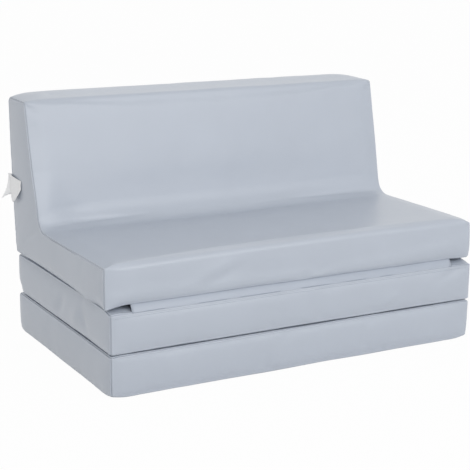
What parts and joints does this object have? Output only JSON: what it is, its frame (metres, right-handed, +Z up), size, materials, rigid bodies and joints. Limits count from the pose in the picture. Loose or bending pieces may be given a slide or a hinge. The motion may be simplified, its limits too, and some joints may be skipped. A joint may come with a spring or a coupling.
{
  "type": "kids flip open sofa",
  "caption": "Kids flip open sofa: an L-shaped foam seat with backrest hinged to folded foam pads that open out into a floor bed, all in smooth leather-look covers.",
  "frame": {"origin": "middle of the bottom pad's footprint, on the surface that it rests on", "axes": "+X along the width towards the right end, +Y towards the backrest, +Z up; the front faces -Y"},
  "size_m": [1.0432, 0.6075, 0.6169],
  "materials": {
    "cover_leather": "smooth satin light blue-grey leather-look cover",
    "hinge_leather": "smooth satin light blue-grey leather-look strip",
    "foam": "open-cell foam",
    "zip_tape": "woven tape with a nylon coil",
    "zip_slider": "painted zip slider",
    "label_cloth": "bare white woven label"
  },
  "bodies": {
    "bottom_pad": {"bottom_foam": "foam", "bottom_top_panel": "cover_leather", "bottom_base_panel": "cover_leather", "bottom_front_band": "cover_leather", "bottom_left_band": "cover_leather", "bottom_right_band": "cover_leather", "bottom_rear_upper_band": "cover_leather", "bottom_rear_lower_band": "cover_leather", "bottom_zip": "zip_tape", "bottom_zip_slider": "zip_slider", "bottom_zip_patch": "cover_leather", "rear_hinge_flap": "hinge_leather"},
    "middle_pad": {"middle_foam": "foam", "middle_top_panel": "cover_leather", "middle_base_panel": "cover_leather", "middle_front_band": "cover_leather", "middle_left_band": "cover_leather", "middle_right_band": "cover_leather", "middle_rear_upper_band": "cover_leather", "middle_rear_lower_band": "cover_leather", "middle_zip": "zip_tape", "middle_zip_slider": "zip_slider", "middle_zip_patch": "cover_leather", "front_hinge_flap": "hinge_leather"},
    "sofa_block": {"seat_foam": "foam", "backrest_foam": "foam", "sofa_wrap_panel": "cover_leather", "sofa_left_panel": "cover_leather", "sofa_right_panel": "cover_leather", "sofa_rear_upper_panel": "cover_leather", "sofa_rear_lower_panel": "cover_leather", "sofa_base_panel": "cover_leather", "sofa_zip": "zip_tape", "sofa_zip_slider": "zip_slider", "sofa_zip_patch": "cover_leather", "care_label": "label_cloth"}
  },
  "joints": [
    {"name": "rear_hinge", "type": "hinge", "parent": "bottom_pad", "child": "middle_pad", "pos_m": [0, 0.2995, 0.10255], "axis": [-1, 0, 0], "range_deg": [0, 180], "deforming": ["rear_hinge_flap"]},
    {"name": "front_hinge", "type": "hinge", "parent": "middle_pad", "child": "sofa_block", "pos_m": [0, -0.2995, 0.20525], "axis": [1, 0, 0], "range_deg": [0, 180], "deforming": ["front_hinge_flap"]}
  ]
}
